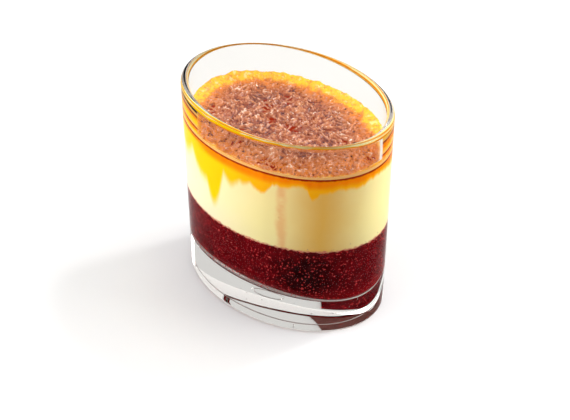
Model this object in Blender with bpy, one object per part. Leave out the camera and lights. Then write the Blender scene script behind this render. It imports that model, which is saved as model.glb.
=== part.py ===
"""Layered creme brulee dessert in an oval glass tumbler.

From the bottom up: a heavy clear glass base, a red berry layer and a custard layer, whose browned
sugar crust is relief on its top. The part stands on the table: +Z up, +X along the oval's long
axis, and the origin at the centre of the base. All sizes are in metres.

The glass and the berry layer are stacks of level ovals. Two sections give their shape, one cut
along the oval and one across it, and each oval runs through one point of both. The custard starts
as a square grid that is rounded off to the same oval, so that the crags of its crust are even.
Each solid stands clear of the next one by the contact gap.
"""

import math
from dataclasses import dataclass

import bmesh
import bpy
from mathutils import Vector, noise

# Driving dimensions of the glass
RIM_LENGTH = 0.0780
RIM_WIDTH = 0.0561
GLASS_HEIGHT = 0.0717
TAPER_PER_SIDE = 0.0010
WALL_AT_RIM = 0.0026
WALL_AT_FLOOR = 0.0030
BASE_THICKNESS = 0.0094
HEEL_RADIUS = 0.0013
FOOT_RING_WIDTH = 0.0068
RECESS_DEPTH = 0.0002
RECESS_SLOPE_WIDTH = 0.0002
END_SLOPE_REACH = 0.0051
END_SLOPE_RISE = 0.0030
SIDE_SLOPE_REACH = 0.0108
SIDE_SLOPE_RISE = 0.0114
SLOPE_BOW = 1.72

# Driving dimensions of the dessert
BERRY_TOP = 0.0319
CRUST_LEVEL = 0.0602
CONTACT_GAP = 0.0003
CRAG_HEIGHT = 0.0012
CRAG_SIZE = 0.0035
MENISCUS_RISE = 0.0006
MENISCUS_REACH = 0.0016

# The pattern of the crags
RIDGE_SHARE = 0.6
RIDGE_SHARPNESS = 3
RIPPLE_FINENESS = 2.3
RIPPLE_SHIFT = Vector((7, 3, 1))

# How finely the solids are cut
AROUND = 96
HEEL_STEPS = 4
LIP_STEPS = 6
SLOPE_STEPS = 6
MIDDLE_SHARE = 0.15
CRUST_CELLS = 58

SMOOTH_ANGLE = math.radians(40)


def elliptic_arc(centre, reach, rise, start, end, steps):
    """Points (half size, height) along an arc of a section; start and end are in degrees."""
    angles = [math.radians(start + (end - start) * step / steps) for step in range(steps + 1)]
    return [(centre[0] + reach * math.cos(a), centre[1] + rise * math.sin(a)) for a in angles]


def bowed_slope(centre, reach, rise):
    """Points down the slope between the hollow's wall and its floor.

    They follow a superellipse about the centre, whose exponent SLOPE_BOW would be 2 for a round
    corner and 1 for a straight slope.
    """
    points = []
    for cosine, sine in elliptic_arc((0, 0), 1, 1, 0, 90, SLOPE_STEPS):
        outward = reach * abs(cosine) ** (2 / SLOPE_BOW)
        down = rise * sine ** (2 / SLOPE_BOW)
        points.append((centre[0] + outward, centre[1] - down))
    return points


@dataclass(frozen=True)
class Section:
    """A vertical cut through the middle of the tumbler, given from its axis outwards."""

    rim: float
    slope_reach: float
    slope_rise: float

    def outer(self, height):
        """Half size of the glass at a height."""
        return self.rim - TAPER_PER_SIDE * (1 - height / GLASS_HEIGHT)

    def inner(self, height):
        """Half size of the hollow at a height, above the slope to its floor."""
        share = (height - BASE_THICKNESS) / (GLASS_HEIGHT - BASE_THICKNESS)
        wall = WALL_AT_FLOOR + (WALL_AT_RIM - WALL_AT_FLOOR) * share
        return self.outer(height) - wall

    def underside(self):
        """The shallow flat recess under the base, from near its middle out to the foot ring."""
        foot = self.outer(0) - HEEL_RADIUS - FOOT_RING_WIDTH
        recess = foot - RECESS_SLOPE_WIDTH
        return [(recess * MIDDLE_SHARE, RECESS_DEPTH), (recess, RECESS_DEPTH), (foot, 0)]

    def heel(self):
        """The rounded outer edge of the base."""
        centre = (self.outer(HEEL_RADIUS) - HEEL_RADIUS, HEEL_RADIUS)
        return elliptic_arc(centre, HEEL_RADIUS, HEEL_RADIUS, -90, 0, HEEL_STEPS)

    def lip(self):
        """The fire-polished lip, a half round from the outer wall over to the inner wall."""
        radius = WALL_AT_RIM / 2
        centre = (self.outer(GLASS_HEIGHT) - radius, GLASS_HEIGHT - radius)
        return elliptic_arc(centre, radius, radius, 0, 180, LIP_STEPS)

    def hollow_bottom(self):
        """The slope from the hollow's wall to its floor, and the flat floor, from the wall in."""
        top = BASE_THICKNESS + self.slope_rise
        middle = self.inner(top) - self.slope_reach
        slope = bowed_slope((middle, top), self.slope_reach, self.slope_rise)
        return slope + [(middle * MIDDLE_SHARE, BASE_THICKNESS)]


LENGTHWISE = Section(RIM_LENGTH / 2, END_SLOPE_REACH, END_SLOPE_RISE)
CROSSWISE = Section(RIM_WIDTH / 2, SIDE_SLOPE_REACH, SIDE_SLOPE_RISE)


def stack_of_ovals(name, profile, material):
    """One closed solid whose ovals run through the points of the same profile of both sections.

    It starts as a tube of radius 1 whose height counts the ovals. A corner of that tube already
    holds the cosine and the sine of its place round the oval.
    """
    lengthwise, crosswise = profile(LENGTHWISE), profile(CROSSWISE)
    shape = bmesh.new()
    corners = [shape.verts.new((1, 0, count)) for count in range(len(lengthwise))]
    edges = [shape.edges.new(pair) for pair in zip(corners, corners[1:])]
    bmesh.ops.spin(
        shape,
        geom=corners + edges,
        axis=(0, 0, 1),
        cent=(0, 0, 0),
        angle=2 * math.pi,
        steps=AROUND,
        use_merge=True,
    )
    bmesh.ops.holes_fill(shape, edges=[edge for edge in shape.edges if edge.is_boundary])
    for vert in shape.verts:
        cosine, sine, count = vert.co
        half_length, end_height = lengthwise[round(count)]
        half_width, side_height = crosswise[round(count)]
        height = end_height * cosine**2 + side_height * sine**2
        vert.co = (half_length * cosine, half_width * sine, height)
    return finished_object(name, shape, material)


def finished_object(name, shape, material):
    """Puts a bmesh into a smooth-shaded object with outward faces."""
    shape.normal_update()
    bmesh.ops.recalc_face_normals(shape, faces=shape.faces)
    mesh = bpy.data.meshes.new(name)
    shape.to_mesh(mesh)
    shape.free()
    mesh.shade_smooth()
    mesh.set_sharp_from_angle(angle=SMOOTH_ANGLE)
    mesh.materials.append(material)
    piece = bpy.data.objects.new(name, mesh)
    bpy.context.scene.collection.objects.link(piece)
    return piece


def finish(name, colour, roughness, transmission=0.0):
    """A Principled material in one colour."""
    material = bpy.data.materials.new(name)
    material.use_nodes = True
    shader = material.node_tree.nodes["Principled BSDF"]
    shader.inputs["Base Color"].default_value = (*colour, 1.0)
    shader.inputs["Roughness"].default_value = roughness
    shader.inputs["Metallic"].default_value = 0.0
    shader.inputs["Transmission Weight"].default_value = transmission
    return material


def glass_profile(section):
    """The tumbler's section from the underside out, up the wall, over the lip and down inside."""
    return section.underside() + section.heel() + section.lip() + section.hollow_bottom()


def berry_profile(section):
    """The berry layer's section from its flat top down the wall to the floor, off the glass."""
    edge = section.inner(BERRY_TOP)
    hollow = [(edge, BERRY_TOP), *section.hollow_bottom()]
    clear = [((edge - CONTACT_GAP) * share, BERRY_TOP) for share in (MIDDLE_SHARE, 1)]
    for before, here, after in zip(hollow, hollow[1:], hollow[2:]):
        along = Vector(after) - Vector(before)
        inwards = Vector((along.y, -along.x)).normalized()
        clear.append(tuple(Vector(here) + inwards * CONTACT_GAP))
    middle, floor = hollow[-1]
    return clear + [(middle, floor + CONTACT_GAP)]


def crag(point):
    """Height of the burnt sugar's ridges and ripples at a point, from 0 to 1."""
    spot = Vector((point.x, point.y, 0)) / CRAG_SIZE
    ridge = (1 - abs(noise.noise(spot))) ** RIDGE_SHARPNESS
    ripple = (1 + noise.noise(spot * RIPPLE_FINENESS + RIPPLE_SHIFT)) / 2
    return RIDGE_SHARE * ridge + (1 - RIDGE_SHARE) * ripple


def crust_height(point, from_wall):
    """Height of the crust at a point that lies so far in from the wall."""
    meniscus = MENISCUS_RISE * math.exp(-from_wall / MENISCUS_REACH)
    return CRUST_LEVEL + CRAG_HEIGHT * (crag(point) - 0.5) + meniscus


def round_off(corner):
    """Moves a point of the square from -1 to 1 onto the round disc of radius 1."""
    x = corner.x * math.sqrt(1 - corner.y**2 / 2)
    y = corner.y * math.sqrt(1 - corner.x**2 / 2)
    return x, y


def on_oval(disc_point, height):
    """The point of the hollow's oval at a height that a point of the round disc stands for."""
    half_length = LENGTHWISE.inner(height) - CONTACT_GAP
    half_width = CROSSWISE.inner(height) - CONTACT_GAP
    return Vector((disc_point[0] * half_length, disc_point[1] * half_width, height))


def build_custard(material):
    """The custard, with its crust's bubbles and ridges on top and a flat underside."""
    half_width = CROSSWISE.inner(CRUST_LEVEL)
    shape = bmesh.new()
    bmesh.ops.create_grid(shape, x_segments=CRUST_CELLS, y_segments=CRUST_CELLS, size=1)
    outline = [edge for edge in shape.edges if edge.is_boundary]
    extruded = bmesh.ops.extrude_edge_only(shape, edges=outline)["geom"]
    lowered = {item for item in extruded if isinstance(item, bmesh.types.BMVert)}
    for vert in shape.verts:
        disc_point = round_off(vert.co)
        if vert in lowered:
            vert.co = on_oval(disc_point, BERRY_TOP + CONTACT_GAP)
        else:
            from_wall = half_width * (1 - math.hypot(*disc_point))
            vert.co = on_oval(disc_point, CRUST_LEVEL)
            vert.co.z = crust_height(vert.co, from_wall)
    bmesh.ops.holes_fill(shape, edges=[edge for edge in shape.edges if edge.is_boundary])
    return finished_object("custard_layer", shape, material)


def clear_scene():
    """Removes the startup objects."""
    for item in list(bpy.data.objects):
        bpy.data.objects.remove(item)


def main():
    """Builds the tumbler and its two layers."""
    clear_scene()
    clear_glass = finish("clear_glass", (0.95, 0.97, 0.97), 0.02, transmission=1.0)
    red_berry = finish("red_berry", (0.16, 0.006, 0.010), 0.25)
    custard = finish("custard", (0.88, 0.70, 0.34), 0.35)
    stack_of_ovals("glass", glass_profile, clear_glass)
    stack_of_ovals("berry_layer", berry_profile, red_berry)
    build_custard(custard)


main()
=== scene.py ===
"""Dresses the layered creme brulee in its oval glass tumbler.

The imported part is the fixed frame. Every visible piece is modelled here at full smoothness on the
same named sizes and rides on the one body. Three of them stand for the three CAD nodes. Sizes are
in metres.
"""

import logging
import math
import random
from dataclasses import dataclass, field
from enum import Enum

import bmesh
import bpy
from mathutils import Matrix, Vector, noise


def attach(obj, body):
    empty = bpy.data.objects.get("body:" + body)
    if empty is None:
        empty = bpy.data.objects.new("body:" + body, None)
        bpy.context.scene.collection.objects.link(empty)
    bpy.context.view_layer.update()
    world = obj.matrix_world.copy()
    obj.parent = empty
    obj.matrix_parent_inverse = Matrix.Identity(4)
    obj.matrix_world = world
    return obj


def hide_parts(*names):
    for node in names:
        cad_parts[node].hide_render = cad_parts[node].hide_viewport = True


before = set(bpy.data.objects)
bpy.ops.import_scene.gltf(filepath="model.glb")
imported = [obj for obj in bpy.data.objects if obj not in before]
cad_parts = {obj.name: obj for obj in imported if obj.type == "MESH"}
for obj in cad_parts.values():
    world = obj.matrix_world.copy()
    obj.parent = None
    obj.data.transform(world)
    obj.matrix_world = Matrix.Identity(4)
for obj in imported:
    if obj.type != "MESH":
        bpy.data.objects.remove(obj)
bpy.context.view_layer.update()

LOG = logging.getLogger("creme_brulee")
BODY = "root"
SMOOTH_ANGLE = math.radians(35)

Colour = tuple[float, float, float]
Profile = list[tuple[float, float]]
Cell = tuple[Vector, Vector, Vector, Vector]
# A rise from nothing at the first value to the whole at the second, which may be the lower one
Rise = tuple[float, float]
Socket = bpy.types.NodeSocket
Number = bpy.types.NodeSocket | float
Tone = bpy.types.NodeSocket | Colour


class Node(Enum):
    """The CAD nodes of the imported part."""

    GLASS = "glass"
    BERRY = "berry_layer"
    CUSTARD = "custard_layer"


class Slot(Enum):
    """The record's material slots."""

    GLASS = "clear_glass"
    BERRY = "red_berry"
    CUSTARD = "custard"


# ---------------------------------------------------------------------------------------------
# The form that all pieces share
# ---------------------------------------------------------------------------------------------

BERRY_TOP = 0.0319
CRUST_LEVEL = 0.0602
# How far the food reaches into the glass, so that no air shows between the two
WALL_BITE = 0.00005
# The exponent of the slope to the hollow's floor: 2 would be round and 1 straight
SLOPE_BOW = 1.72
# Where the flat floor and the flat tops are cut, as shares of their half size
FLOOR_SHARES = (0.6, 0.15)
MIDDLE_SHARE = 0.2
GLASS_INDEX = 1.5


def elliptic_arc(
    centre: tuple[float, float],
    reach: float,
    rise: float,
    start: float,
    end: float,
    steps: int,
) -> Profile:
    """Points along an arc of a section.

    Args:
        centre: Half size and height of the arc's centre.
        reach: Its radius outwards.
        rise: Its radius upwards.
        start: Its first angle, in degrees.
        end: Its last angle, in degrees.
        steps: How many pieces it is cut into.

    Returns:
        Points as (half size, height).
    """
    angles = [math.radians(start + (end - start) * step / steps) for step in range(steps + 1)]
    return [(centre[0] + reach * math.cos(a), centre[1] + rise * math.sin(a)) for a in angles]


def bowed_slope(centre: tuple[float, float], reach: float, rise: float, steps: int) -> Profile:
    """Points down the slope between the hollow's wall and its floor, along a superellipse.

    Args:
        centre: Half size and height of the point above the slope's foot and inside its top.
        reach: How far out from the centre the slope begins.
        rise: How far below the centre it ends.
        steps: How many pieces it is cut into.

    Returns:
        Points as (half size, height), from the wall inwards.
    """
    power = 2 / SLOPE_BOW
    quarter = elliptic_arc((0, 0), 1, 1, 0, 90, steps)
    return [(centre[0] + reach * abs(c) ** power, centre[1] - rise * s**power) for c, s in quarter]


def smoothstep(value: float, rise: Rise) -> float:
    """0 before the rise, 1 after it, and smooth in between, whichever way it runs."""
    share = min(max((value - rise[0]) / (rise[1] - rise[0]), 0.0), 1.0)
    return share * share * (3 - 2 * share)


@dataclass(frozen=True)
class Section:
    """A vertical cut through the middle of the tumbler, given from its axis outwards."""

    rim: float
    slope_reach: float
    slope_rise: float
    height: float = 0.0717
    taper: float = 0.0010
    wall_at_rim: float = 0.0026
    wall_at_floor: float = 0.0030
    base: float = 0.0094
    heel: float = 0.0013
    foot_ring: float = 0.0068
    recess_depth: float = 0.0002
    recess_slope: float = 0.0002

    def outer(self, height: float) -> float:
        """Half size of the glass at a height."""
        return self.rim - self.taper * (1 - height / self.height)

    def inner(self, height: float) -> float:
        """Half size of the hollow at a height, above the slope to its floor.

        Args:
            height: The height above the table.

        Returns:
            The half size.
        """
        share = (height - self.base) / (self.height - self.base)
        wall = self.wall_at_floor + (self.wall_at_rim - self.wall_at_floor) * share
        return self.outer(height) - wall

    def foot(self) -> float:
        """Half size of the recess under the base."""
        return self.outer(0) - self.heel - self.foot_ring

    def hollow_bottom(self, steps: int, bite: float = 0.0) -> Profile:
        """The slope down to the hollow's floor and the flat floor, so far into the glass.

        Args:
            steps: How many pieces the slope is cut into.
            bite: How far the points lie in the glass.

        Returns:
            Points from the wall inwards.
        """
        top = self.base + self.slope_rise
        middle = self.inner(top) - self.slope_reach
        slope = bowed_slope((middle, top), self.slope_reach + bite, self.slope_rise + bite, steps)
        return slope + [(middle * share, self.base - bite) for share in FLOOR_SHARES]


LENGTHWISE = Section(rim=0.0390, slope_reach=0.0051, slope_rise=0.0030)
CROSSWISE = Section(rim=0.02805, slope_reach=0.0108, slope_rise=0.0114)


def on_wall(angle: float, height: float, bite: float) -> Vector:
    """A point of the hollow's wall.

    Args:
        angle: Its place round the oval.
        height: Its height above the table.
        bite: How far it lies in the glass.

    Returns:
        The point.
    """
    half_length = LENGTHWISE.inner(height) + bite
    half_width = CROSSWISE.inner(height) + bite
    return Vector((half_length * math.cos(angle), half_width * math.sin(angle), height))


def round_off(corner: Vector) -> tuple[float, float]:
    """Moves a point of the square from -1 to 1 onto the round disc of radius 1.

    Args:
        corner: The point of the square.

    Returns:
        X and Y on the disc.
    """
    x = corner.x * math.sqrt(1 - corner.y**2 / 2)
    y = corner.y * math.sqrt(1 - corner.x**2 / 2)
    return x, y


def on_oval(
    cosine: float,
    sine: float,
    end: tuple[float, float],
    side: tuple[float, float],
) -> Vector:
    """A point of the oval that runs through one point of both profiles.

    Args:
        cosine: The cosine of its place round the oval.
        sine: The sine of that place.
        end: The half size and height of the cut along the oval.
        side: The half size and height of the cut across it.

    Returns:
        The point.
    """
    height = end[1] * cosine**2 + side[1] * sine**2
    return Vector((end[0] * cosine, side[0] * sine, height))


def spin_ovals(around: int, lengthwise: Profile, crosswise: Profile) -> bmesh.types.BMesh:
    """A closed solid whose level ovals run through the points of two profiles.

    A chain of corners is spun into a tube of radius 1 whose height counts the ovals, and both
    ends are closed. A corner of that tube then holds the cosine and sine of its place.

    Args:
        around: How many sides each oval has.
        lengthwise: The profile of the cut along the oval.
        crosswise: The profile of the cut across it, with as many points.

    Returns:
        The solid as a bmesh, in the row frame.
    """
    shape = bmesh.new()
    corners = [shape.verts.new((1, 0, count)) for count in range(len(lengthwise))]
    edges = [shape.edges.new(pair) for pair in zip(corners, corners[1:])]
    bmesh.ops.spin(
        shape,
        geom=corners + edges,
        axis=(0, 0, 1),
        cent=(0, 0, 0),
        angle=2 * math.pi,
        steps=around,
        use_merge=True,
    )
    bmesh.ops.holes_fill(shape, edges=[edge for edge in shape.edges if edge.is_boundary])
    for vert in shape.verts:
        cosine, sine, count = vert.co
        row = round(count)
        vert.co = on_oval(cosine, sine, lengthwise[row], crosswise[row])
    return shape


def make_piece(
    name: str,
    shape: bmesh.types.BMesh,
    material: bpy.types.Material,
    replaces: tuple[Node, ...] = (),
) -> bpy.types.Object:
    """Turns a bmesh into a smooth-shaded piece that rides on the body.

    Args:
        name: The piece's name.
        shape: Its mesh, in the row frame. It is freed.
        material: Its finish.
        replaces: The CAD nodes that the piece stands for.

    Returns:
        The finished piece.
    """
    shape.normal_update()
    bmesh.ops.recalc_face_normals(shape, faces=shape.faces)
    mesh = bpy.data.meshes.new(name)
    shape.to_mesh(mesh)
    shape.free()
    mesh.shade_smooth()
    mesh.set_sharp_from_angle(angle=SMOOTH_ANGLE)
    mesh.materials.append(material)
    piece = bpy.data.objects.new(name, mesh)
    bpy.context.scene.collection.objects.link(piece)
    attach(piece, BODY)
    if replaces:
        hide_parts(*(node.value for node in replaces))
    return piece


# ---------------------------------------------------------------------------------------------
# Patterns and the node tree
# ---------------------------------------------------------------------------------------------

# The colours of a Mix node: its first and second input and its output, by their places
MIX_FIRST = 6
MIX_SECOND = 7
MIX_RESULT = 2


@dataclass(frozen=True)
class Pattern:
    """Noise in patches of a size, which come in over a rise of its values."""

    size: float
    detail: float = 3.0
    roughness: float = 0.5
    rise: Rise = (0.0, 1.0)


@dataclass(frozen=True)
class Flecks:
    """Small round flecks, one in some of the cells of a pattern.

    The reach is given in cells: a fleck ends at its first value and is whole at its second. Each
    cell draws a number up to 1, and the chance is the rise of that number that brings a fleck in.
    """

    size: float
    reach: Rise
    chance: Rise
    draw: str = "Red"


class Graph:
    """A material's node tree, with short ways to add the nodes that the finishes share."""

    def __init__(self, name: str) -> None:
        """Starts a material with a Principled shader and its Object coordinates.

        Args:
            name: The material's name.
        """
        self.material = bpy.data.materials.new(name)
        self.material.use_nodes = True
        self.tree = self.material.node_tree
        self.shader = self.tree.nodes["Principled BSDF"]
        self.output = self.tree.nodes["Material Output"]
        self.place = self.add("ShaderNodeTexCoord").outputs["Object"]

    def add(self, kind: str) -> bpy.types.Node:
        """A new node of that kind."""
        return self.tree.nodes.new(kind)

    def link(self, source: Socket, target: Socket) -> None:
        """Joins an output to an input."""
        self.tree.links.new(source, target)

    def feed(self, target: Socket, value: Number | Tone) -> None:
        """Links a socket into an input, or sets the input to a plain value.

        Args:
            target: The input.
            value: A socket, a number or a colour.
        """
        if isinstance(value, Socket):
            self.link(value, target)
        elif isinstance(value, tuple):
            target.default_value = (*value, 1.0)
        else:
            target.default_value = value

    def maths(
        self,
        operation: str,
        first: Number,
        second: Number = 0.0,
        third: Number = 0.0,
    ) -> Socket:
        """Works out a number from up to three others.

        Args:
            operation: The Math node's operation.
            first: Its first number.
            second: Its second number, where it takes one.
            third: Its third number, where it takes one.

        Returns:
            The result.
        """
        node = self.add("ShaderNodeMath")
        node.operation = operation
        for socket, value in zip(node.inputs, (first, second, third)):
            self.feed(socket, value)
        return node.outputs["Value"]

    def times(self, first: Number, second: Number) -> Socket:
        """The product of two numbers."""
        return self.maths("MULTIPLY", first, second)

    def axis(self, name: str) -> Socket:
        """The X, Y or Z of the point.

        Args:
            name: The axis.

        Returns:
            The coordinate.
        """
        node = self.add("ShaderNodeSeparateXYZ")
        self.link(self.place, node.inputs["Vector"])
        return node.outputs[name]

    def attribute(self, name: str) -> Socket:
        """A number that the mesh holds for each corner.

        Args:
            name: The attribute's name.

        Returns:
            The number.
        """
        node = self.add("ShaderNodeAttribute")
        node.attribute_name = name
        return node.outputs["Fac"]

    def stretched(self, scale: tuple[float, float, float]) -> Socket:
        """The point's place, stretched along the axes.

        Args:
            scale: How many times, along X, Y and Z.

        Returns:
            The stretched place.
        """
        node = self.add("ShaderNodeMapping")
        self.link(self.place, node.inputs["Vector"])
        node.inputs["Scale"].default_value = scale
        return node.outputs["Vector"]

    def cloud(self, pattern: Pattern, place: Socket | None = None) -> Socket:
        """The noise of a pattern, as it is.

        Args:
            pattern: The size and detail of its patches.
            place: Where the noise is looked up, if not at the point itself.

        Returns:
            A number from 0 to 1.
        """
        node = self.add("ShaderNodeTexNoise")
        self.link(place or self.place, node.inputs["Vector"])
        node.inputs["Scale"].default_value = 1 / pattern.size
        node.inputs["Detail"].default_value = pattern.detail
        node.inputs["Roughness"].default_value = pattern.roughness
        return node.outputs["Fac"]

    def patches(self, pattern: Pattern) -> Socket:
        """1 in a pattern's patches and 0 between them."""
        return self.span(self.cloud(pattern), pattern.rise)

    def wander(self, pattern: Pattern, width: float) -> Socket:
        """A number that wanders about 0 with a pattern, over that width in all."""
        return self.maths("MULTIPLY_ADD", self.cloud(pattern), width, -width / 2)

    def flecks(self, flecks: Flecks) -> Socket:
        """Small round flecks in some cells of a pattern.

        Args:
            flecks: Their size and how many of them there are.

        Returns:
            1 in a fleck and 0 outside.
        """
        cells = self.add("ShaderNodeTexVoronoi")
        self.link(self.place, cells.inputs["Vector"])
        cells.inputs["Scale"].default_value = 1 / flecks.size
        drawn = self.add("ShaderNodeSeparateColor")
        self.link(cells.outputs["Color"], drawn.inputs["Color"])
        inside = self.span(cells.outputs["Distance"], flecks.reach)
        return self.times(inside, self.span(drawn.outputs[flecks.draw], flecks.chance))

    def span(self, value: Socket, rise: Rise) -> Socket:
        """Smooths a number into a share.

        Args:
            value: The number.
            rise: Its value where the share is 0, and its value where the share is 1.

        Returns:
            The share.
        """
        node = self.add("ShaderNodeMapRange")
        node.interpolation_type = "SMOOTHSTEP"
        self.link(value, node.inputs["Value"])
        node.inputs["From Min"].default_value = rise[0]
        node.inputs["From Max"].default_value = rise[1]
        return node.outputs["Result"]

    def blend(self, share: Socket, first: Tone, second: Tone) -> Socket:
        """Mixes two colours.

        Args:
            share: The share of the second one.
            first: The colour where the share is 0.
            second: The colour where the share is 1.

        Returns:
            The mixed colour.
        """
        node = self.add("ShaderNodeMix")
        node.data_type = "RGBA"
        self.link(share, node.inputs["Factor"])
        self.feed(node.inputs[MIX_FIRST], first)
        self.feed(node.inputs[MIX_SECOND], second)
        return node.outputs[MIX_RESULT]

    def relief(self, height: Socket, depth: float) -> Socket:
        """The normal of a surface that a pattern roughens.

        Args:
            height: The pattern.
            depth: How deep it is.

        Returns:
            The normal.
        """
        node = self.add("ShaderNodeBump")
        node.inputs["Distance"].default_value = depth
        self.link(height, node.inputs["Height"])
        return node.outputs["Normal"]

    def mirror(self) -> bpy.types.Node:
        """A clear mirror.

        Returns:
            Its shader node.
        """
        node = self.add("ShaderNodeBsdfGlossy")
        node.inputs["Roughness"].default_value = 0.0
        node.inputs["Color"].default_value = (1.0, 1.0, 1.0, 1.0)
        return node

    def mixed(self, share: Socket, first: Socket, second: Socket) -> Socket:
        """Mixes two shaders.

        Args:
            share: The share of the second one.
            first: The shader where the share is 0.
            second: The shader where the share is 1.

        Returns:
            The mixed shader.
        """
        node = self.add("ShaderNodeMixShader")
        self.link(share, node.inputs["Fac"])
        self.link(first, node.inputs[1])
        self.link(second, node.inputs[2])
        return node.outputs["Shader"]

    def mirror_at_glass(self, index: float) -> None:
        """Adds the glint where light in the glass grazes a wet filling of a lower index.

        Args:
            index: The filling's refractive index.
        """
        fresnel = self.add("ShaderNodeFresnel")
        fresnel.inputs["IOR"].default_value = index / GLASS_INDEX
        glint = self.mirror().outputs["BSDF"]
        either = self.mixed(fresnel.outputs["Fac"], self.shader.outputs["BSDF"], glint)
        self.link(either, self.output.inputs["Surface"])

    def paint(self, colour: Socket) -> None:
        """Gives the Principled shader its colour."""
        self.link(colour, self.shader.inputs["Base Color"])

    def settle(self, **values: float) -> None:
        """Sets plain values on the Principled shader's own sockets.

        Args:
            values: The values, by the sockets' names with _ for a space.
        """
        for name, value in values.items():
            self.shader.inputs[name.replace("_", " ")].default_value = value


# ---------------------------------------------------------------------------------------------
# Finishes
# ---------------------------------------------------------------------------------------------


@dataclass(frozen=True)
class ClearGlass:
    """Pressed soda-lime glass, nearly colourless, with a faint ripple in its surface."""

    tint: Colour = (0.898, 0.888, 0.868)
    clear_tint: Colour = (0.914, 0.906, 0.890)
    ripple: Pattern = Pattern(0.012, detail=1)
    ripple_depth: float = 0.000012
    mirror_falloff: float = 2.2

    def material(self) -> bpy.types.Material:
        """Builds the glass from a shader that bends light and one that mirrors it.

        The mirror's share falls off faster than bare glass has it, as under a polariser, and
        stays whole where light in the glass can't leave. Lamps reach what the glass holds.

        Returns:
            The material.
        """
        graph = Graph("clear_glass")
        graph.tree.nodes.remove(graph.shader)
        streaks = graph.cloud(self.ripple)
        ripple = graph.relief(streaks, self.ripple_depth)
        fresnel = graph.add("ShaderNodeFresnel")
        fresnel.inputs["IOR"].default_value = GLASS_INDEX
        graph.link(ripple, fresnel.inputs["Normal"])
        bent = graph.add("ShaderNodeBsdfRefraction")
        bent.inputs["IOR"].default_value = GLASS_INDEX
        bent.inputs["Roughness"].default_value = 0.0
        graph.link(ripple, bent.inputs["Normal"])
        graph.link(graph.blend(streaks, self.tint, self.clear_tint), bent.inputs["Color"])
        mirrored = graph.mirror()
        graph.link(ripple, mirrored.inputs["Normal"])
        share = graph.maths("POWER", fresnel.outputs["Fac"], self.mirror_falloff)
        glass = graph.mixed(share, bent.outputs["BSDF"], mirrored.outputs["BSDF"])
        clear = graph.add("ShaderNodeBsdfTransparent")
        rays = graph.add("ShaderNodeLightPath")
        either = graph.mixed(rays.outputs["Is Shadow Ray"], glass, clear.outputs["BSDF"])
        graph.link(either, graph.output.inputs["Surface"])
        return graph.material


@dataclass(frozen=True)
class AirBubble:
    """A silvery bubble of air in the glass or under the wall."""

    bright: Colour = (0.93, 0.92, 0.90)
    grey: Colour = (0.75, 0.72, 0.70)
    shades: Pattern = Pattern(0.0004)

    def material(self) -> bpy.types.Material:
        """Builds the bubble's bright, mirror-like skin.

        Returns:
            The material.
        """
        graph = Graph("air_bubble")
        graph.paint(graph.blend(graph.cloud(self.shades), self.bright, self.grey))
        graph.settle(Roughness=0.08, Metallic=0.9)
        return graph.material


@dataclass(frozen=True)
class BerryFinish:
    """Deep red berry jelly with fine bright specks, darkened by painted shade at one place of the
    front, where least light gets through it.

    Towards the floor it turns a clearer red, which is painted light glowing through the jelly, and
    beneath the floor's edge a pale brown-red.
    """

    body: Colour = (0.090, 0.0014, 0.0034)
    cloudy: Colour = (0.165, 0.0024, 0.0056)
    clouds: Pattern = Pattern(0.0022, detail=6, roughness=0.65, rise=(0.35, 0.7))
    # Painted shade: the near-black red at one place of the front, where little light gets into the
    # jelly
    depth: Colour = (0.010, 0.0006, 0.0008)
    painted_shade_centre: tuple[float, float, float] = (0.0270, -0.0185, 0.0215)
    painted_shade_rise: Rise = (0.0155, 0.0020)
    painted_shade_share: float = 0.92
    painted_shade_fringe: Pattern = Pattern(0.0035, detail=5)
    painted_shade_wander: float = 0.012
    # Painted light: the clearer red towards the floor, where light glows through the jelly
    edge: Colour = (0.260, 0.0024, 0.0045)
    painted_glow_rise: Rise = (0.0175, 0.0118)
    edge_share: float = 0.7
    under: Colour = (0.300, 0.120, 0.105)
    under_rise: Rise = (0.0034, 0.0016)
    speck: Colour = (0.90, 0.040, 0.040)
    specks: tuple[Flecks, ...] = (
        Flecks(0.00100, reach=(0.26, 0.13), chance=(0.45, 1.1)),
        Flecks(0.00070, reach=(0.26, 0.13), chance=(0.60, 1.1)),
    )
    index: float = 1.355

    def material(self) -> bpy.types.Material:
        """Builds the jelly's finish.

        Returns:
            The material.
        """
        graph = Graph("red_berry")
        colour = graph.blend(graph.patches(self.clouds), self.body, self.cloudy)
        # Painted shade, darkest at one place of the front
        colour = graph.blend(self.painted_shade_spot(graph), colour, self.depth)
        height = graph.axis("Z")
        # Painted light: a clearer red glow towards the floor
        low = graph.times(graph.span(height, self.painted_glow_rise), self.edge_share)
        colour = graph.blend(low, colour, self.edge)
        above_floor = graph.maths("SUBTRACT", height, LENGTHWISE.base)
        colour = graph.blend(graph.span(above_floor, self.under_rise), colour, self.under)
        for flecks in self.specks:
            colour = graph.blend(graph.flecks(flecks), colour, self.speck)
        graph.paint(colour)
        graph.settle(Roughness=0.35, Specular_IOR_Level=0.0)
        graph.mirror_at_glass(self.index)
        return graph.material

    def painted_shade_spot(self, graph: Graph) -> Socket:
        """The painted shade's dark place, with a fringe that wanders.

        Args:
            graph: The jelly's graph.

        Returns:
            How dark the painted shade makes the point, from 0 to its share.
        """
        away = graph.add("ShaderNodeVectorMath")
        away.operation = "DISTANCE"
        graph.link(graph.place, away.inputs[0])
        away.inputs[1].default_value = self.painted_shade_centre
        fringe = graph.wander(self.painted_shade_fringe, self.painted_shade_wander)
        distance = graph.maths("ADD", away.outputs["Value"], fringe)
        return graph.times(graph.span(distance, self.painted_shade_rise), self.painted_shade_share)


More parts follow.
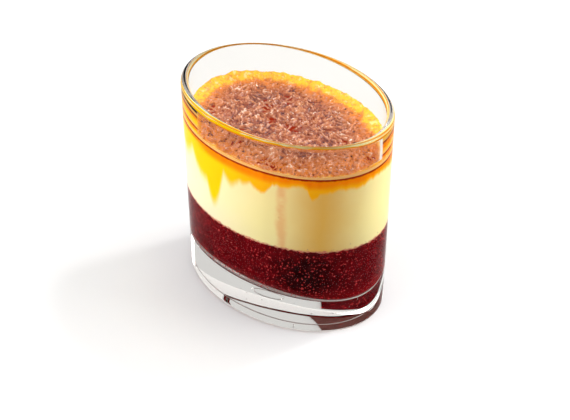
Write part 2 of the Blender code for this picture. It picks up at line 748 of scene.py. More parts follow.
@dataclass(frozen=True)
class PulpFinish:
    """Flecks of pulp that catch the light, from bright red to a paler pink that is partly their own
    colour and partly painted highlight.
    """

    red: Colour = (0.72, 0.030, 0.036)
    # Partly painted highlight: the paler pink patches
    pink: Colour = (0.85, 0.14, 0.12)
    pinkish: Pattern = Pattern(0.0016, detail=1, rise=(0.58, 0.80))

    def material(self) -> bpy.types.Material:
        """Builds the pulp's finish.

        Returns:
            The material.
        """
        graph = Graph("berry_pulp")
        graph.paint(graph.blend(graph.patches(self.pinkish), self.red, self.pink))
        graph.settle(Roughness=0.25, Specular_IOR_Level=0.3)
        return graph.material


@dataclass(frozen=True)
class Cream:
    """The custard's cream colour, with painted shade and painted light: warmest and darkest at one
    place of the front as painted shade, and lighter away from it, lightest on the left as painted
    light.
    """

    # Painted shade: the deeper, darker cream at one place of the front, where less light falls
    painted_shade_cream: Colour = (0.82, 0.52, 0.125)
    plain: Colour = (0.95, 0.87, 0.46)
    # Painted light: the lighter cream on the left, where more light falls
    light: Colour = (0.96, 0.92, 0.68)
    cream_shade_at: float = 0.0157
    cream_shade_reach: float = 0.053
    mottle: Pattern = Pattern(0.010, detail=4)
    mottle_width: float = 0.006
    back_rise: Rise = (-0.006, 0.016)
    plain_rise: Rise = (-0.04, 0.42)
    left_rise: Rise = (0.0, -0.012)
    painted_light_rise: Rise = (0.42, 1.0)

    def add(self, graph: Graph, across: Socket) -> Socket:
        """Adds the cream with its painted shade and painted light.

        Args:
            graph: The custard's graph.
            across: The place from left to right over the front.

        Returns:
            The colour.
        """
        mottle = graph.wander(self.mottle, self.mottle_width)
        away = graph.maths("ADD", graph.maths("SUBTRACT", across, self.cream_shade_at), mottle)
        share = graph.maths("DIVIDE", graph.maths("ABSOLUTE", away), self.cream_shade_reach)
        share = graph.maths("MAXIMUM", share, graph.span(graph.axis("Y"), self.back_rise))
        colour = graph.blend(graph.span(share, self.plain_rise), self.painted_shade_cream, self.plain)
        # Painted light on the left
        left = graph.span(away, self.left_rise)
        light = graph.times(left, graph.span(share, self.painted_light_rise))
        return graph.blend(light, colour, self.light)


@dataclass(frozen=True)
class Stain:
    """The faint upright stain on the front, and a few tiny dark specks."""

    colour: Colour = (0.86, 0.44, 0.20)
    at: float = -0.0015
    width_rise: Rise = (0.0036, 0.0004)
    front_rise: Rise = (-0.006, -0.012)
    waver: Pattern = Pattern(0.005, detail=4)
    waver_width: float = 0.0030
    breaks: Pattern = Pattern(0.0030, detail=4, rise=(0.15, 0.60))
    share: float = 0.65
    speck: Colour = (0.35, 0.16, 0.06)
    specks: Flecks = Flecks(0.0042, reach=(0.055, 0.030), chance=(0.62, 0.70), draw="Green")
    speck_share: float = 0.7

    def add(self, graph: Graph, colour: Socket, across: Socket) -> Socket:
        """Adds the stain and the specks.

        Args:
            graph: The custard's graph.
            colour: The colour so far.
            across: The place from left to right over the front.

        Returns:
            The colour with the stain and the specks.
        """
        away = graph.maths("SUBTRACT", across, self.at)
        away = graph.maths("ADD", away, graph.wander(self.waver, self.waver_width))
        band = graph.span(graph.maths("ABSOLUTE", away), self.width_rise)
        front = graph.span(graph.axis("Y"), self.front_rise)
        share = graph.times(graph.times(band, front), graph.patches(self.breaks))
        colour = graph.blend(graph.times(share, self.share), colour, self.colour)
        specks = graph.times(graph.flecks(self.specks), self.speck_share)
        return graph.blend(specks, colour, self.speck)


@dataclass(frozen=True)
class Syrup:
    """Caramel between custard and wall: a dark line at the crust, then orange and yellow tongues.

    On the left the tongues are longer, softer at their ends and yellow to the top.
    """

    line: Colour = (0.30, 0.020, 0.004)
    line_height: float = 0.0598
    line_rise: Rise = (0.0014, 0.0008)
    line_fringe: Pattern = Pattern(0.0012)
    line_wander: float = 0.0006
    orange: Colour = (0.97, 0.27, 0.003)
    amber: Colour = (0.90, 0.20, 0.003)
    amber_rise: Rise = (0.45, 0.80)
    orange_reach: float = 0.0042
    orange_share: float = 0.8
    orange_rise: Rise = (1.15, 0.50)
    golden: Colour = (1.00, 0.50, 0.008)
    yellow: Colour = (1.00, 0.67, 0.004)
    left_rise: Rise = (-0.006, -0.034)
    far_left_rise: Rise = (-0.032, -0.040)
    below_line_rise: Rise = (0.0010, 0.0026)
    streaks: Pattern = Pattern(1.0, detail=4)
    streaks_per_metre: tuple[float, float, float] = (520, 520, 90)
    streak_length: float = 0.0026
    streak_start: float = 0.0011
    soft_end: float = 0.0014
    softer_left: float = 0.0036
    end_rise: Rise = (-0.6, 0.6)

    def add(self, graph: Graph, colour: Socket, across: Socket) -> Socket:
        """Adds the caramel.

        Args:
            graph: The custard's graph.
            colour: The colour so far.
            across: The place from left to right over the front.

        Returns:
            The colour with the caramel.
        """
        drop = graph.maths("SUBTRACT", self.line_height, graph.axis("Z"))
        streaks = graph.cloud(self.streaks, graph.stretched(self.streaks_per_metre))
        hanging = graph.attribute("syrup_reach")
        reach = graph.maths("MULTIPLY_ADD", streaks, self.streak_length, hanging)
        reach = graph.maths("SUBTRACT", reach, self.streak_start)
        left = graph.span(across, self.left_rise)
        soft = graph.maths("MULTIPLY_ADD", left, self.softer_left, self.soft_end)
        inside = graph.maths("DIVIDE", graph.maths("SUBTRACT", reach, drop), soft)
        lower = graph.blend(left, self.golden, self.yellow)
        colour = graph.blend(graph.span(inside, self.end_rise), colour, lower)
        hot = graph.blend(graph.span(streaks, self.amber_rise), self.orange, self.amber)
        far_left = graph.span(across, self.far_left_rise)
        yellow = graph.times(far_left, graph.span(drop, self.below_line_rise))
        upper = graph.blend(yellow, hot, self.yellow)
        thick = graph.maths("MINIMUM", graph.times(reach, self.orange_share), self.orange_reach)
        depth = graph.maths("DIVIDE", drop, thick)
        colour = graph.blend(graph.span(depth, self.orange_rise), colour, upper)
        fringe = graph.cloud(self.line_fringe)
        below = graph.maths("MULTIPLY_ADD", fringe, self.line_wander, drop)
        return graph.blend(graph.span(below, self.line_rise), colour, self.line)


@dataclass(frozen=True)
class CustardFinish:
    """Pale custard against the glass, with caramel that has run down from the crust."""

    cream: Cream = Cream()
    stain: Stain = Stain()
    syrup: Syrup = Syrup()
    blush: Colour = (0.66, 0.22, 0.16)
    blush_rise: Rise = (-0.00010, -0.00075)
    blush_fringe: Pattern = Pattern(0.0009)
    blush_wander: float = -0.0018

    def material(self) -> bpy.types.Material:
        """Builds the custard's finish.

        Returns:
            The material.
        """
        graph = Graph("custard")
        across = graph.maths("ADD", graph.axis("X"), graph.axis("Y"))
        colour = self.cream.add(graph, across)
        colour = self.stain.add(graph, colour, across)
        colour = self.syrup.add(graph, colour, across)
        graph.paint(self.add_blush(graph, colour))
        graph.settle(Roughness=0.45, Specular_IOR_Level=0.0)
        return graph.material

    def add_blush(self, graph: Graph, colour: Socket) -> Socket:
        """Adds the pink fringe where the custard meets the berries.

        Args:
            graph: The custard's graph.
            colour: The colour so far.

        Returns:
            The colour with the fringe.
        """
        above = graph.maths("SUBTRACT", graph.axis("Z"), BERRY_TOP)
        fringe = graph.cloud(self.blush_fringe)
        ragged = graph.maths("MULTIPLY_ADD", fringe, self.blush_wander, above)
        return graph.blend(graph.span(ragged, self.blush_rise), colour, self.blush)


@dataclass(frozen=True)
class CrustFinish:
    """Burnt sugar skin: glossy, with pinkish painted highlight on its creases, dark red painted
    shade in its pits, and yellow at the wall.

    It reads from the mesh how high the relief is, and how far the point lies in from the wall
    and from the inner edge of the collar.
    """

    fold: Colour = (0.36, 0.066, 0.013)
    burnt: Colour = (0.20, 0.042, 0.020)
    scorch: Pattern = Pattern(0.009, detail=4, roughness=0.6, rise=(0.48, 0.74))
    orange: Colour = (0.80, 0.215, 0.010)
    orange_wander: float = -0.010
    orange_rise: Rise = (0.0060, -0.0035)
    # Painted shade: dark red in the pits, where the relief is lowest
    pit: Colour = (0.10, 0.004, 0.002)
    pit_shade_fringe: Pattern = Pattern(0.0011, detail=2)
    pit_shade_wander: float = -0.55
    pit_rise: Rise = (0.16, -0.06)
    # Painted highlight: the pinkish crests
    painted_crest_highlight: Colour = (0.66, 0.23, 0.085)
    crest_highlight_rise: Rise = (0.40, 0.70)
    crest_highlight_breaks: Pattern = Pattern(0.0014, rise=(0.36, 0.58))
    # Painted highlight: the whitish glints on the highest crests
    glint: Colour = (0.95, 0.66, 0.48)
    painted_glint_rise: Rise = (0.72, 0.95)
    painted_glint_breaks: Pattern = Pattern(0.0010, rise=(0.48, 0.62))
    collar_fringe: Pattern = Pattern(0.0026, detail=5, roughness=0.65)
    collar_wander: float = -0.0044
    collar_orange_rise: Rise = (-0.0004, -0.0022)
    collar_rise: Rise = (-0.0014, -0.0032)
    yellow: Colour = (1.00, 0.56, 0.014)
    dull: Colour = (0.84, 0.33, 0.030)
    dull_patches: Pattern = Pattern(0.0013, detail=4, rise=(0.48, 0.66))
    pale: Colour = (1.00, 0.72, 0.22)
    pale_patches: Pattern = Pattern(0.0018, rise=(0.56, 0.68))
    side: Colour = (0.86, 0.46, 0.11)
    side_height_rise: Rise = (0.0608, 0.0606)
    side_gap_rise: Rise = (0.0002, 0.0)
    gloss: Pattern = Pattern(0.0015)
    roughness_range: float = 0.16
    least_roughness: float = 0.12
    grain: Pattern = Pattern(0.00045)
    grain_depth: float = 0.00006

    def material(self) -> bpy.types.Material:
        """Builds the crust's finish.

        Returns:
            The material.
        """
        graph = Graph("burnt_sugar")
        from_wall = graph.attribute("from_wall")
        colour = self.add_folds(graph, from_wall)
        colour = self.add_collar(graph, colour)
        low = graph.span(graph.axis("Z"), self.side_height_rise)
        outer = graph.times(low, graph.span(from_wall, self.side_gap_rise))
        graph.paint(graph.blend(outer, colour, self.side))
        gloss = graph.cloud(self.gloss)
        rough = graph.maths("MULTIPLY_ADD", gloss, self.roughness_range, self.least_roughness)
        graph.link(rough, graph.shader.inputs["Roughness"])
        graph.settle(Coat_Weight=1.0, Coat_IOR=1.6, Coat_Roughness=0.04, Specular_IOR_Level=0.1)
        grain = graph.relief(graph.cloud(self.grain), self.grain_depth)
        graph.link(grain, graph.shader.inputs["Normal"])
        return graph.material

    def add_folds(self, graph: Graph, from_wall: Socket) -> Socket:
        """Adds the browned folds, with painted shade in their pits and painted highlights on their
        crests and glints.

        Args:
            graph: The crust's graph.
            from_wall: How far the point lies in from the wall.

        Returns:
            The colour of the folds.
        """
        relief = graph.attribute("relief")
        scorch = graph.cloud(self.scorch)
        tone = graph.blend(graph.span(scorch, self.scorch.rise), self.fold, self.burnt)
        near_wall = graph.maths("MULTIPLY_ADD", scorch, self.orange_wander, from_wall)
        tone = graph.blend(graph.span(near_wall, self.orange_rise), tone, self.orange)
        # Painted shade in the pits
        pit_shade_fringe = graph.cloud(self.pit_shade_fringe)
        pits = graph.maths("MULTIPLY_ADD", pit_shade_fringe, self.pit_shade_wander, relief)
        colour = graph.blend(graph.span(pits, self.pit_rise), tone, self.pit)
        # Painted highlight on the crests
        crest_highlights = graph.span(relief, self.crest_highlight_rise)
        crest_highlights = graph.times(crest_highlights, graph.patches(self.crest_highlight_breaks))
        colour = graph.blend(crest_highlights, colour, self.painted_crest_highlight)
        # Painted highlight: glints on the highest crests
        painted_glints = graph.span(relief, self.painted_glint_rise)
        painted_glints = graph.times(painted_glints, graph.patches(self.painted_glint_breaks))
        return graph.blend(painted_glints, colour, self.glint)

    def add_collar(self, graph: Graph, colour: Socket) -> Socket:
        """Adds the yellow collar at the wall, with an orange edge towards the folds.

        Args:
            graph: The crust's graph.
            colour: The colour so far.

        Returns:
            The colour with the collar.
        """
        inside = graph.attribute("inside_collar")
        fringe = graph.cloud(self.collar_fringe)
        inside = graph.maths("MULTIPLY_ADD", fringe, self.collar_wander, inside)
        colour = graph.blend(graph.span(inside, self.collar_orange_rise), colour, self.orange)
        collar = graph.blend(graph.patches(self.dull_patches), self.yellow, self.dull)
        collar = graph.blend(graph.patches(self.pale_patches), collar, self.pale)
        return graph.blend(graph.span(inside, self.collar_rise), colour, collar)


# ---------------------------------------------------------------------------------------------
# The pieces
# ---------------------------------------------------------------------------------------------


@dataclass
class Tumbler:
    """The oval glass: heavy base, straight walls, fire-polished rim and a plain moulded ring.

    The ring is a low ridge under the base. It is drawn at stations, given in ring widths from
    its middle, and it is level at its full height between the two flat ones.
    """

    around: int = 256
    lip_steps: int = 20
    heel_steps: int = 12
    slope_steps: int = 28
    ring_share: float = 0.150
    ring_width: float = 0.0006
    ring_height: float = 0.00018
    ring_stations: tuple[float, ...] = (-0.70, -0.55, -0.40, -0.25, 0.25, 0.40, 0.55, 0.70)
    ring_flat: float = 0.40
    inner_share: float = 1 / 3
    edge_share: float = 0.25
    finish: ClearGlass = field(default_factory=ClearGlass)

    def underside(self, section: Section) -> Profile:
        """The recess with its small moulded ring, out to the foot ring.

        Args:
            section: The cut that it is drawn in.

        Returns:
            Points from the middle outwards.
        """
        top = section.recess_depth
        middle = section.foot() * self.ring_share
        ring = []
        for station in self.ring_stations:
            height = top - self.ring_height if abs(station) <= self.ring_flat else top
            ring.append((middle + self.ring_width * station, height))
        foot, recess = section.foot(), section.foot() - section.recess_slope
        step = section.recess_slope * self.edge_share
        edge = [(recess - step, top), (recess, top), (foot, 0.0), (foot + step, 0.0)]
        return [(middle * self.inner_share, top), *ring, *edge]

    def profile(self, section: Section) -> Profile:
        """The whole section, from the underside over the lip to the floor of the hollow.

        Args:
            section: The cut that it is drawn in.

        Returns:
            Points from the middle of the underside to the middle of the hollow's floor.
        """
        heel_centre = (section.outer(section.heel) - section.heel, section.heel)
        heel = elliptic_arc(heel_centre, section.heel, section.heel, -90, 0, self.heel_steps)
        radius = section.wall_at_rim / 2
        lip_centre = (section.outer(section.height) - radius, section.height - radius)
        lip = elliptic_arc(lip_centre, radius, radius, 0, 180, self.lip_steps)
        return self.underside(section) + heel + lip + section.hollow_bottom(self.slope_steps)

    def build(self) -> bpy.types.Object:
        """Builds the tumbler, which stands for the CAD glass."""
        shape = spin_ovals(self.around, self.profile(LENGTHWISE), self.profile(CROSSWISE))
        return make_piece("tumbler", shape, self.finish.material(), (Node.GLASS,))


@dataclass
class BerryLayer:
    """The berry jelly, which bites into the glass all round, with bright pulp in its skin."""

    around: int = 480
    slope_steps: int = 36
    wall_steps: int = 12
    top_shares: tuple[float, ...] = (MIDDLE_SHARE, 0.96)
    border_band: float = 0.0003
    ragged_rise: float = 0.00060
    ragged_size: float = 0.0013
    finer: float = 2.7
    finer_share: float = 0.5
    pulp_count: int = 1700
    pulp_size: tuple[float, float] = (0.00013, 0.00031)
    pulp_long: tuple[float, float] = (0.7, 1.0)
    pulp_flat: tuple[float, float] = (0.7, 1.3)
    pulp_from: float = 0.0125
    seed: int = 7
    finish: BerryFinish = field(default_factory=BerryFinish)
    pulp_finish: PulpFinish = field(default_factory=PulpFinish)

    def profile(self, section: Section) -> Profile:
        """The section from the top, down the wall and over the slope to the floor.

        Args:
            section: The cut that it is drawn in.

        Returns:
            Points from the middle of the top to the middle of the floor.
        """
        edge = section.inner(BERRY_TOP) + WALL_BITE
        top = [(edge * share, BERRY_TOP) for share in self.top_shares]
        slope_top = section.base + section.slope_rise
        wall = []
        for step in range(self.wall_steps):
            height = BERRY_TOP + (slope_top - BERRY_TOP) * step / self.wall_steps
            wall.append((section.inner(height) + WALL_BITE, height))
        return top + wall + section.hollow_bottom(self.slope_steps, WALL_BITE)

    def ragged(self, point: Vector) -> float:
        """How far the border with the custard wanders at a point of the wall.

        Args:
            point: The point.

        Returns:
            The rise or the fall of the border.
        """
        spot = Vector((point.x, point.y, 0)) / self.ragged_size
        coarse, fine = noise.noise(spot), noise.noise(spot * self.finer)
        return self.ragged_rise * (coarse + self.finer_share * fine)

    def build(self) -> list[bpy.types.Object]:
        """Builds the jelly, which stands for the CAD berry layer, and its pulp.

        Returns:
            The jelly and the pulp.
        """
        pulp = self.build_pulp()
        shape = spin_ovals(self.around, self.profile(LENGTHWISE), self.profile(CROSSWISE))
        for vert in shape.verts:
            if vert.co.z > BERRY_TOP - self.border_band:
                vert.co.z += self.ragged(vert.co)
        jelly = make_piece("berry_jelly", shape, self.finish.material(), (Node.BERRY,))
        return [jelly, pulp]

    def skin(self) -> list[Cell]:
        """The jelly's skin in the cells of its mesh, always in the same order.

        Returns:
            The cells that pulp may lie in, each with its four corners.
        """
        turns = [2 * math.pi * place / self.around for place in range(self.around)]
        rows = []
        for end, side in zip(self.profile(LENGTHWISE), self.profile(CROSSWISE)):
            rows.append([on_oval(math.cos(turn), math.sin(turn), end, side) for turn in turns])
        cells = []
        for upper, lower in zip(rows, rows[1:]):
            for place in range(self.around):
                cell = (upper[place - 1], upper[place], lower[place], lower[place - 1])
                middle = sum(corner.z for corner in cell) / len(cell)
                if self.pulp_from < middle < BERRY_TOP - self.border_band:
                    cells.append(cell)
        return cells

    def build_pulp(self) -> bpy.types.Object:
        """Builds flecks of pulp, spread evenly over the jelly's skin.

        Returns:
            The pulp, as one piece.
        """
        draw = random.Random(self.seed)
        skin = self.skin()
        areas = [(cell[2] - cell[0]).cross(cell[3] - cell[1]).length for cell in skin]
        shape = bmesh.new()
        for cell in draw.choices(skin, areas, k=self.pulp_count):
            matrix = self.fleck_matrix(cell, draw)
            bmesh.ops.create_icosphere(shape, subdivisions=1, radius=1, matrix=matrix)
        return make_piece("berry_pulp", shape, self.pulp_finish.material())

    def fleck_matrix(self, cell: Cell, draw: random.Random) -> Matrix:
        """Places a ball of radius 1 as a fleck somewhere in a cell of the skin.

        Args:
            cell: The cell's corners.
            draw: The source of random numbers.

        Returns:
            The fleck's place, turn and size.
        """
        small, large = self.pulp_size
        size = small + (large - small) * draw.random() ** 2
        turn = Matrix.Rotation(draw.uniform(0, math.pi), 4, "Z")
        long, flat = draw.uniform(*self.pulp_long), draw.uniform(*self.pulp_flat)
        stretch = Matrix.Diagonal((size, size * long, size * flat, 1))
        shares = [draw.random() for _ in cell]
        centre = sum((corner * share for corner, share in zip(cell, shares)), Vector())
        return Matrix.Translation(centre / sum(shares)) @ turn @ stretch


@dataclass(frozen=True)
class Drip:
    """A tongue of caramel that has run down the inside of the wall. Its angles are in degrees."""

    angle: float
    half_width: float
    length: float

    def reach(self, angle: float) -> float:
        """How far it hangs below the rest at an angle round the oval."""
        away = (angle - self.angle + 180) % 360 - 180
        return self.length * max(0.0, 1 - (away / self.half_width) ** 2)


@dataclass
class Custard:
    """The custard from the berries up to the crust, with the caramel's reach kept on the mesh.

    It overlaps the berries and the crust a little, and its wall is tucked in behind theirs, so
    that their skins show there and not its own. Angles round the oval are in degrees.
    """

    around: int = 720
    overlap: float = 0.0008
    tuck: float = 0.00002
    top: float = CRUST_LEVEL - 0.0004
    thin_syrup: float = 0.0032
    thick_syrup: float = 0.0064
    thickens: Rise = (-175, -140)
    thins: Rise = (-95, -50)
    drips: tuple[Drip, ...] = (
        Drip(-131, 10, 0.0040),
        Drip(-107, 13, 0.0075),
        Drip(-98.6, 6.8, 0.0095),
        Drip(-86.5, 5.0, 0.0034),
        Drip(-79, 5, 0.0015),
        Drip(-68.5, 6.5, 0.0036),
        Drip(-57, 6, 0.0008),
        Drip(-39.3, 3.5, 0.0030),
        Drip(-33, 12, 0.0019),
        Drip(-13, 12, 0.0013),
        Drip(34, 15, 0.0015),
        Drip(70, 20, 0.0025),
        Drip(110, 14, 0.0040),
        Drip(150, 18, 0.0030),
        Drip(-165, 14, 0.0030),
    )
    finish: CustardFinish = field(default_factory=CustardFinish)

    def profile(self, section: Section) -> Profile:
        """The section from the flat underside up the wall to the flat top.

        Args:
            section: The cut that it is drawn in.

        Returns:
            Points from the middle of the underside to the middle of the top.
        """
        bottom = BERRY_TOP - self.overlap
        lower = section.inner(bottom) + WALL_BITE - self.tuck
        upper = section.inner(self.top) + WALL_BITE - self.tuck
        underside = [(lower * MIDDLE_SHARE, bottom), (lower, bottom)]
        return underside + [(upper, self.top), (upper * MIDDLE_SHARE, self.top)]

    def syrup_reach(self, angle: float) -> float:
        """How far the caramel has run down the wall.

        Args:
            angle: The place round the oval.

        Returns:
            The caramel's reach.
        """
        thick = smoothstep(angle, self.thickens) * (1 - smoothstep(angle, self.thins))
        even = self.thin_syrup + (self.thick_syrup - self.thin_syrup) * thick
        return even + sum(drip.reach(angle) for drip in self.drips)

    def build(self) -> bpy.types.Object:
        """Builds the custard, which stands for the CAD custard with the crust.

        Returns:
            The custard.
        """
        lengthwise, crosswise = self.profile(LENGTHWISE), self.profile(CROSSWISE)
        half_length, half_width = lengthwise[1][0], crosswise[1][0]
        shape = spin_ovals(self.around, lengthwise, crosswise)
        reach = shape.verts.layers.float.new("syrup_reach")
        for vert in shape.verts:
            angle = math.atan2(vert.co.y / half_width, vert.co.x / half_length)
            vert[reach] = self.syrup_reach(math.degrees(angle))
        return make_piece("custard", shape, self.finish.material(), (Node.CUSTARD,))


# Places in the crust's noises that keep them apart from each other
BREAK_SHIFT = Vector((3, 7, 5))
GRAIN_SHIFT = Vector((1, 8, 3))
COLLAR_SLICE = 4
LUMP_SLICE = 6


@dataclass
class Crust:
    """The browned sugar skin, crumpled into fine glossy creases, with a collar at the wall.

    The collar is wide behind a line that slants across the oval and thin in front of it. It
    climbs the wall, most of all at the back. The seed fixes how the creases are bent.
    """

    cells: int = 308
    underside: float = CRUST_LEVEL - 0.0005
    fold_size: float = 0.0052
    fold_height: float = 0.00045
    warp: float = 0.0024
    crease_sizes: tuple[float, ...] = (0.0027, 0.0016, 0.0010)
    crease_heights: tuple[float, ...] = (0.00056, 0.00044, 0.00030)
    crease_width: float = 0.32
    crease_sharpness: float = 1.2
    break_size: float = 1.6
    break_rise: Rise = (-0.45, 0.05)
    pit_size: float = 0.0014
    pit_depth: float = 0.00035
    pit_rise: Rise = (0.28, 0.08)
    grain_size: float = 0.00070
    grain_height: float = 0.00012
    even_relief: float = 0.30
    middle_relief: float = 0.55
    collar_back: float = 0.0037
    collar_front: float = 0.0003
    collar_rise: Rise = (-0.009, 0.009)
    collar_slant: float = 0.48
    collar_wander_size: float = 0.0045
    collar_least: float = 0.85
    collar_wander: float = 0.6
    climb_back: float = 0.0014
    climb_front: float = 0.0004
    climb_rise: Rise = (-0.012, 0.010)
    climb_share: float = 0.7
    climb_least: float = 0.0003
    climb_power: float = 1.5
    calm_share: float = 0.75
    calm_least: float = 0.0004
    lump_size: float = 0.0025
    lump_height: float = 0.00060
    seed: int = 5
    finish: CrustFinish = field(default_factory=CrustFinish)

    def crease(self, spot: Vector, size: float, height: float) -> float:
        """A thin ridge along the lines where a noise of that size changes sign.

        Args:
            spot: The place on the crust.
            size: The size of the noise.
            height: The height of the ridge.

        Returns:
            The ridge's height at that place.
        """
        from_line = abs(noise.noise(spot / size)) / self.crease_width
        line = max(0.0, 1 - from_line) ** self.crease_sharpness
        breaks = noise.noise(spot / (size * self.break_size) + BREAK_SHIFT)
        return height * line * smoothstep(breaks, self.break_rise)

    def relief(self, point: Vector) -> float:
        """The creases, pits and grain at a point.

        Args:
            point: The place on the crust.

        Returns:
            From 0 in the deepest pit to about 1.
        """
        bent = point + noise.noise_vector(point / self.fold_size) * self.warp
        creases = zip(self.crease_sizes, self.crease_heights)
        height = sum(self.crease(bent, size, rise) for size, rise in creases)
        from_pit = noise.voronoi(point / self.pit_size)[0][0]
        height -= self.pit_depth * smoothstep(from_pit, self.pit_rise)
        height += self.grain_height * noise.noise(point / self.grain_size + GRAIN_SHIFT)
        return self.even_relief + height / sum(self.crease_heights)

    def collar_width(self, point: Vector) -> float:
        """Width of the yellow collar, wide along the back wall and thin in front.

        Args:
            point: The place on the crust.

        Returns:
            The width at that place.
        """
        back = smoothstep(point.y - self.collar_slant * point.x, self.collar_rise)
        place = Vector((point.x, point.y, COLLAR_SLICE)) / self.collar_wander_size
        swell = self.collar_least + self.collar_wander * noise.noise(place)
        return self.collar_front + self.collar_back * back * swell

    def height(self, place: Vector, gap: float, width: float, rough: float) -> float:
        """The crust's height at a place.

        Args:
            place: The place on the crust.
            gap: How far it lies in from the wall.
            width: The collar's width there.
            rough: The relief there.

        Returns:
            The height above the table.
        """
        back = smoothstep(place.y, self.climb_rise)
        spot = Vector((place.x, place.y, LUMP_SLICE)) / self.lump_size
        lump = self.lump_height * back * noise.noise(spot)
        climb = self.climb_back * back + self.climb_front + lump
        climb_width = width * self.climb_share + self.climb_least
        climb *= math.exp(-((gap / climb_width) ** self.climb_power))
        calm = 1 - self.calm_share * math.exp(-gap / max(width, self.calm_least))
        fold = self.fold_height * noise.noise(place / self.fold_size)
        swing = sum(self.crease_heights) * (rough - self.middle_relief)
        return CRUST_LEVEL + (fold + swing) * calm + climb

    def build(self) -> bpy.types.Object:
        """Builds the crust, with its relief and its distance from the wall kept on the mesh.

        Returns:
            The crust.
        """
        noise.seed_set(self.seed)
        shape = bmesh.new()
        relief = shape.verts.layers.float.new("relief")
        from_wall = shape.verts.layers.float.new("from_wall")
        inside_collar = shape.verts.layers.float.new("inside_collar")
        bmesh.ops.create_grid(shape, x_segments=self.cells, y_segments=self.cells, size=1)
        outline = [edge for edge in shape.edges if edge.is_boundary]
        extruded = bmesh.ops.extrude_edge_only(shape, edges=outline)["geom"]
        lowered = {item for item in extruded if isinstance(item, bmesh.types.BMVert)}
        half_length = LENGTHWISE.inner(CRUST_LEVEL) + WALL_BITE
        half_width = CROSSWISE.inner(CRUST_LEVEL) + WALL_BITE
        for vert in shape.verts:
            x, y = round_off(vert.co)
            place = Vector((x * half_length, y * half_width, 0))
            gap = half_width * (1 - math.hypot(x, y))
            width = self.collar_width(place)
            vert[relief] = self.relief(place)
            vert[from_wall] = gap
            vert[inside_collar] = gap - width
            place.z = self.underside
            if vert not in lowered:
                place.z = self.height(place, gap, width, vert[relief])
            vert.co = place
        bmesh.ops.holes_fill(shape, edges=[edge for edge in shape.edges if edge.is_boundary])
        return make_piece("sugar_crust", shape, self.finish.material())


@dataclass
class AirBubbles:
    """Tiny bubbles caught in the glass of the base and under the wall of the custard."""

    base_count: int = 16
    base_area: tuple[float, float] = (0.1, 0.85)
    base_heights: tuple[float, float] = (0.003, 0.009)
    wall_count: int = 26
    wall_spread: float = 0.0012
    wall_bite: float = WALL_BITE * 2
    size: tuple[float, float] = (0.00010, 0.00022)
    roundness: int = 2
    seed: int = 21
    finish: AirBubble = field(default_factory=AirBubble)

    def base_place(self, draw: random.Random) -> Vector:
        """A place in the glass of the base.

        Args:
            draw: The source of random numbers.

        Returns:
            The place.
        """
        angle = draw.uniform(0, 2 * math.pi)
        share = math.sqrt(draw.uniform(*self.base_area))
        height = draw.uniform(*self.base_heights)
        x = LENGTHWISE.outer(height) * share * math.cos(angle)
        y = CROSSWISE.outer(height) * share * math.sin(angle)
        return Vector((x, y, height))

    def wall_place(self, draw: random.Random) -> Vector:
        """A place at the wall, mostly just above the berries.

        Args:
            draw: The source of random numbers.

        Returns:
            The place.
        """
        angle = draw.uniform(0, 2 * math.pi)
        height = BERRY_TOP + abs(draw.gauss(0, self.wall_spread))
        return on_wall(angle, height, self.wall_bite)

    def build(self) -> bpy.types.Object:
        """Builds all the bubbles as one piece.

        Returns:
            The bubbles.
        """
        draw = random.Random(self.seed)
        places = [self.base_place(draw) for _ in range(self.base_count)]
        places += [self.wall_place(draw) for _ in range(self.wall_count)]
        shape = bmesh.new()
        for place in places:
            bmesh.ops.create_icosphere(
                shape,
                subdivisions=self.roundness,
                radius=draw.uniform(*self.size),
                matrix=Matrix.Translation(place),
            )
        return make_piece("air_bubbles", shape, self.finish.material())


# ---------------------------------------------------------------------------------------------
# The studio
# ---------------------------------------------------------------------------------------------


def direction(azimuth: float, elevation: float) -> Vector:
    """The direction from the dessert towards a viewpoint or a lamp.

    Args:
        azimuth: Its angle round the dessert from -Y towards +X, in degrees.
        elevation: Its angle above the table, in degrees.

    Returns:
        The direction, of length 1.
    """
    turn, tilt = math.radians(azimuth), math.radians(elevation)
    level = math.cos(tilt)
    return Vector((math.sin(turn) * level, -math.cos(turn) * level, math.sin(tilt)))


@dataclass(frozen=True)
class StudioCamera:
    """The photograph's viewpoint, found by fitting the rim, the layers and the base."""

    azimuth: float = 44.96
    elevation: float = 35.0
    distance: float = 0.4875
    lens: float = 88.97
    aim_right: float = -0.0002145
    aim_up: float = 0.0213837
    sensor: float = 36.0

    def build(self) -> bpy.types.Object:
        """Makes the camera and sets it as the scene's.

        Returns:
            The camera.
        """
        back = direction(self.azimuth, self.elevation)
        right = direction(self.azimuth + 90, 0)
        up = back.cross(right)
        data = bpy.data.cameras.new("camera")
        data.sensor_width = self.sensor
        data.lens = self.lens
        camera = bpy.data.objects.new("camera", data)
        bpy.context.scene.collection.objects.link(camera)
        pose = Matrix((right, up, back)).transposed().to_4x4()
        pose.translation = back * self.distance + right * self.aim_right + up * self.aim_up
        camera.matrix_world = pose
        bpy.context.scene.camera = camera
        return camera


@dataclass(frozen=True)
class StudioLamp:
    """A square lamp that faces the dessert. The larger it is, the softer is its light."""

    name: str
    azimuth: float
    elevation: float
    size: float
    power: float
    distance: float = 0.8

    def build(self, target: Vector) -> bpy.types.Object:
        """Places the lamp round the target and turns it to face it.

        Args:
            target: The point that it faces.

        Returns:
            The lamp.
        """
        towards = direction(self.azimuth, self.elevation)
        data = bpy.data.lights.new(self.name, "AREA")
        data.shape = "SQUARE"
        data.size = self.size
        data.energy = self.power
        lamp = bpy.data.objects.new(self.name, data)
        bpy.context.scene.collection.objects.link(lamp)
        lamp.location = target + towards * self.distance
        lamp.rotation_mode = "QUATERNION"
        lamp.rotation_quaternion = towards.to_track_quat("Z", "Y")
        return lamp


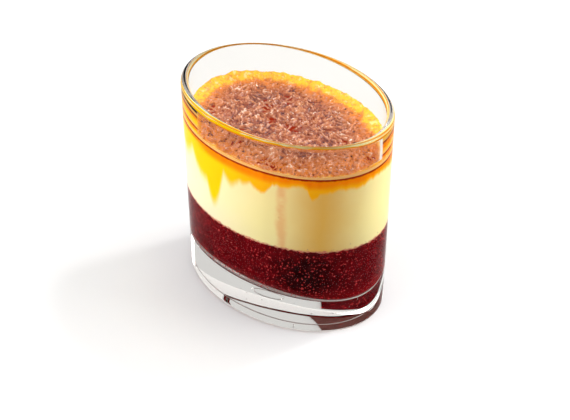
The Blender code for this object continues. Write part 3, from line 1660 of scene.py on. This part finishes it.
@dataclass(frozen=True)
class Studio:
    """A plain pale floor, a soft surround that is a little dimmer in front, and four lamps."""

    floor_size: float = 4.0
    floor_level: float = -0.0001
    floor_colour: Colour = (0.93, 0.93, 0.93)
    floor_shade: Colour = (0.91, 0.91, 0.91)
    floor_clouds: Pattern = Pattern(0.3, detail=2)
    bright: Colour = (1.0, 1.0, 1.0)
    dim: Colour = (0.80, 0.80, 0.81)
    dim_azimuth: float = 62.0
    dim_tilt: float = -0.25
    dim_rise: Rise = (0.25, 0.80)
    strength: float = 0.80
    target: tuple[float, float, float] = (0.0, 0.0, 0.04)
    lamps: tuple[StudioLamp, ...] = (
        StudioLamp("left_softbox", -42, 15, size=0.6, power=3.0),
        StudioLamp("left_front_softbox", -15, 15, size=0.6, power=1.2),
        StudioLamp("right_softbox", 138, 30, size=0.6, power=3.5),
        StudioLamp("sparkle_lamp", 165, 50, size=0.08, power=1.3),
    )

    def build_floor(self) -> bpy.types.Object:
        """Lays the floor, just under the part.

        Returns:
            The floor.
        """
        graph = Graph("pale_floor")
        clouds = graph.cloud(self.floor_clouds)
        graph.paint(graph.blend(clouds, self.floor_colour, self.floor_shade))
        graph.settle(Roughness=0.85, Specular_IOR_Level=0.2)
        shape = bmesh.new()
        bmesh.ops.create_grid(
            shape,
            x_segments=1,
            y_segments=1,
            size=self.floor_size / 2,
            matrix=Matrix.Translation((0, 0, self.floor_level)),
        )
        mesh = bpy.data.meshes.new("floor")
        shape.to_mesh(mesh)
        shape.free()
        mesh.materials.append(graph.material)
        floor = bpy.data.objects.new("floor", mesh)
        bpy.context.scene.collection.objects.link(floor)
        return floor

    def build_world(self) -> None:
        """Sets the surround: bright all round, dimmer on the side of the viewer."""
        world = bpy.data.worlds.new("surround")
        bpy.context.scene.world = world
        world.use_nodes = True
        tree = world.node_tree
        place = tree.nodes.new("ShaderNodeTexCoord")
        facing = tree.nodes.new("ShaderNodeVectorMath")
        facing.operation = "DOT_PRODUCT"
        tree.links.new(place.outputs["Generated"], facing.inputs[0])
        facing.inputs[1].default_value = (*direction(self.dim_azimuth, 0).xy, self.dim_tilt)
        share = tree.nodes.new("ShaderNodeMapRange")
        share.interpolation_type = "SMOOTHSTEP"
        share.inputs["From Min"].default_value = self.dim_rise[0]
        share.inputs["From Max"].default_value = self.dim_rise[1]
        tree.links.new(facing.outputs["Value"], share.inputs["Value"])
        mix = tree.nodes.new("ShaderNodeMix")
        mix.data_type = "RGBA"
        mix.inputs[MIX_FIRST].default_value = (*self.bright, 1.0)
        mix.inputs[MIX_SECOND].default_value = (*self.dim, 1.0)
        tree.links.new(share.outputs["Result"], mix.inputs["Factor"])
        background = tree.nodes["Background"]
        tree.links.new(mix.outputs[MIX_RESULT], background.inputs["Color"])
        background.inputs["Strength"].default_value = self.strength

    def build(self) -> None:
        """Sets up the floor, the surround and the lamps."""
        bpy.context.scene.view_settings.view_transform = "Standard"
        self.build_floor()
        self.build_world()
        for lamp in self.lamps:
            lamp.build(Vector(self.target))


def report(piece: bpy.types.Object) -> None:
    """Logs a finished piece."""
    LOG.info("%s: %d faces", piece.name, len(piece.data.polygons))


def main() -> None:
    """Builds every piece in order, then the studio."""
    logging.basicConfig(level=logging.INFO, format="%(name)s: %(message)s")
    for piece in BerryLayer().build():
        report(piece)
    report(Custard().build())
    report(Crust().build())
    report(Tumbler().build())
    report(AirBubbles().build())
    StudioCamera().build()
    Studio().build()


if __name__ == "__main__":
    main()
